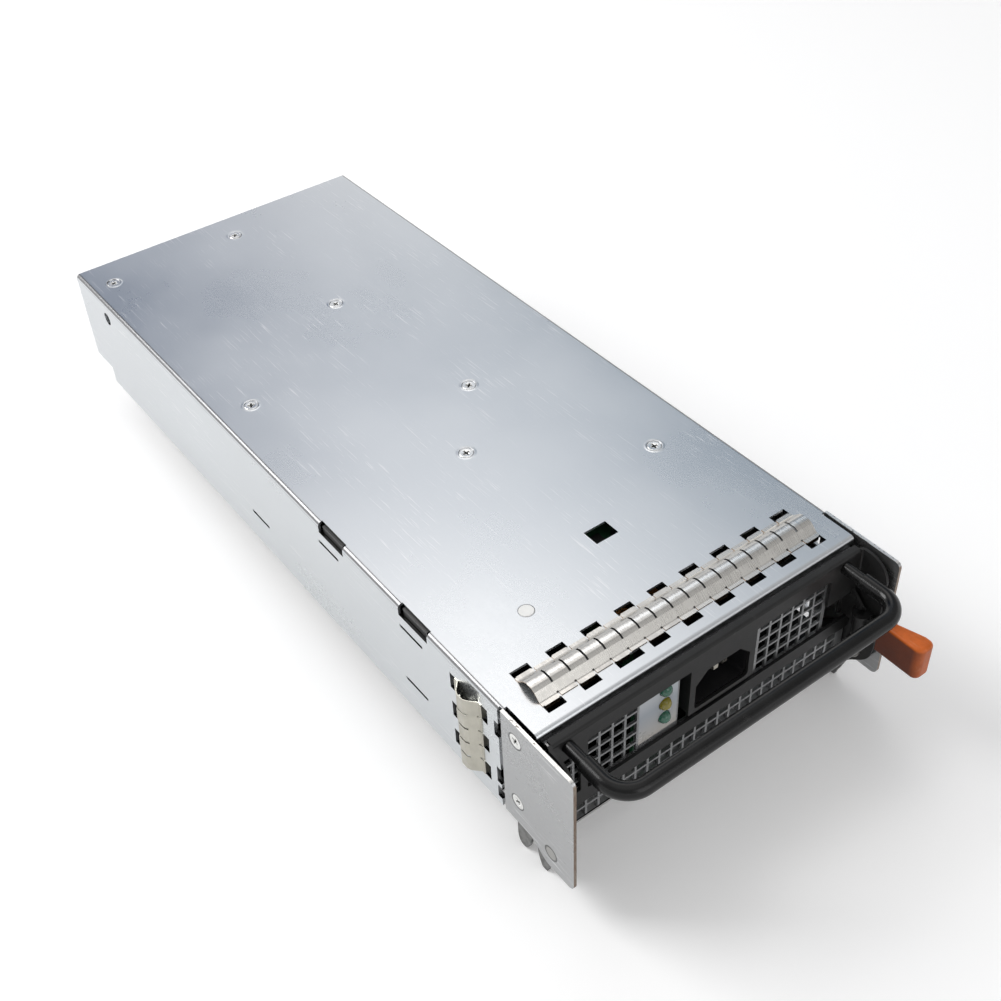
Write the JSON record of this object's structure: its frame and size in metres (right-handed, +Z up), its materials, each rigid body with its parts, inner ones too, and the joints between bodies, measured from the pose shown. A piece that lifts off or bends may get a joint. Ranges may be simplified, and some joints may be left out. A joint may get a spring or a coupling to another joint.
{
  "type": "hot swap server power supply",
  "caption": "Slim sheet steel power supply drawer with a mesh front, mains inlet, folding black handle with hooked arms, sprung latch and rear blind-mate connector.",
  "frame": {"origin": "middle of the front edge of the case's bottom face, straight below the top cover's front edge", "axes": "+X to the right seen from the front, +Y from the front towards the rear connector, +Z up"},
  "size_m": [0.1532, 0.3859, 0.0727],
  "materials": {
    "galvanised_sheet": "zinc coated sheet, satin",
    "bracket_plate": "satin plate",
    "spring_steel": "bright spring strip",
    "screw_steel": "plated",
    "post_metal": "plated",
    "white_plug": "white",
    "black_steel": "black satin paint",
    "bail_steel": "black satin",
    "bail_sleeve": "black satin sleeve",
    "orange_plastic": "orange, fine grain",
    "black_plastic": "black moulding",
    "blade_metal": "tin plated",
    "contact_metal": "gold plated",
    "green_lens": "clear green lens",
    "yellow_lens": "clear yellow lens",
    "board_green": "green circuit board",
    "insulator": "thin film",
    "heat_sink": "extruded",
    "capacitor_sleeve": "shrink sleeve",
    "ferrite": "sintered, matt",
    "winding": "enamelled wire",
    "transistor_case": "black moulding",
    "film_capacitor": "moulded box"
  },
  "bodies": {
    "case": {"top_cover": "galvanised_sheet", "base_tray": "galvanised_sheet", "rear_panel": "galvanised_sheet", "front_panel": "galvanised_sheet", "left_bracket_plate": "bracket_plate", "right_bracket_plate": "bracket_plate", "top_finger_strip": "spring_steel", "left_finger_strip": "spring_steel", "right_finger_strip": "spring_steel", "cover_screws": "screw_steel", "bracket_screws": "screw_steel", "board_screws": "screw_steel", "pivot_rivets": "screw_steel", "cover_posts": "post_metal", "board_feet": "post_metal", "input_posts": "post_metal", "control_posts": "post_metal", "cover_plug": "white_plug", "inlet_housing": "black_plastic", "connector_shell": "black_plastic", "left_fan_frame": "black_plastic", "right_fan_frame": "black_plastic", "inlet_blades": "blade_metal", "connector_contacts": "contact_metal", "green_lamps": "green_lens", "yellow_lamp": "yellow_lens", "main_board": "board_green", "input_board": "board_green", "lamp_board": "board_green", "control_board": "board_green", "insulator_sheet": "insulator", "left_heat_sink": "heat_sink", "right_heat_sink": "heat_sink", "bulk_capacitors": "capacitor_sleeve", "output_capacitors": "capacitor_sleeve", "transformer_core": "ferrite", "transformer_winding": "winding", "boost_choke": "winding", "output_choke": "winding", "filter_choke": "winding", "power_transistors": "transistor_case", "control_chips": "transistor_case", "filter_capacitor": "film_capacitor"},
    "handle": {"handle_bracket": "black_steel", "bail_rod": "bail_steel", "bail_grip": "bail_sleeve", "latch_pin": "screw_steel", "latch_spring": "spring_steel"},
    "latch": {"latch_lever": "black_steel", "latch_grip": "orange_plastic"},
    "left_rotor": {"left_fan_rotor": "black_plastic"},
    "right_rotor": {"right_fan_rotor": "black_plastic"}
  },
  "joints": [
    {"name": "handle_pivot", "type": "hinge", "parent": "case", "child": "handle", "pos_m": [0, -0.0089, 0.0025], "axis": [1, 0, 0], "range_deg": [0, 60]},
    {"name": "latch_pivot", "type": "hinge", "parent": "handle", "child": "latch", "pos_m": [0.066, -0.0115, 0.0179], "axis": [0, 0, -1], "range_deg": [0, 10], "stiffness_Nm_per_rad": 0.06, "springref_deg": -8.59},
    {"name": "left_fan_spin", "type": "hinge", "parent": "case", "child": "left_rotor", "pos_m": [-0.0342, 0.0612, 0.021], "axis": [0, 1, 0], "continuous": true},
    {"name": "right_fan_spin", "type": "hinge", "parent": "case", "child": "right_rotor", "pos_m": [0.0402, 0.0612, 0.021], "axis": [0, 1, 0], "continuous": true}
  ]
}
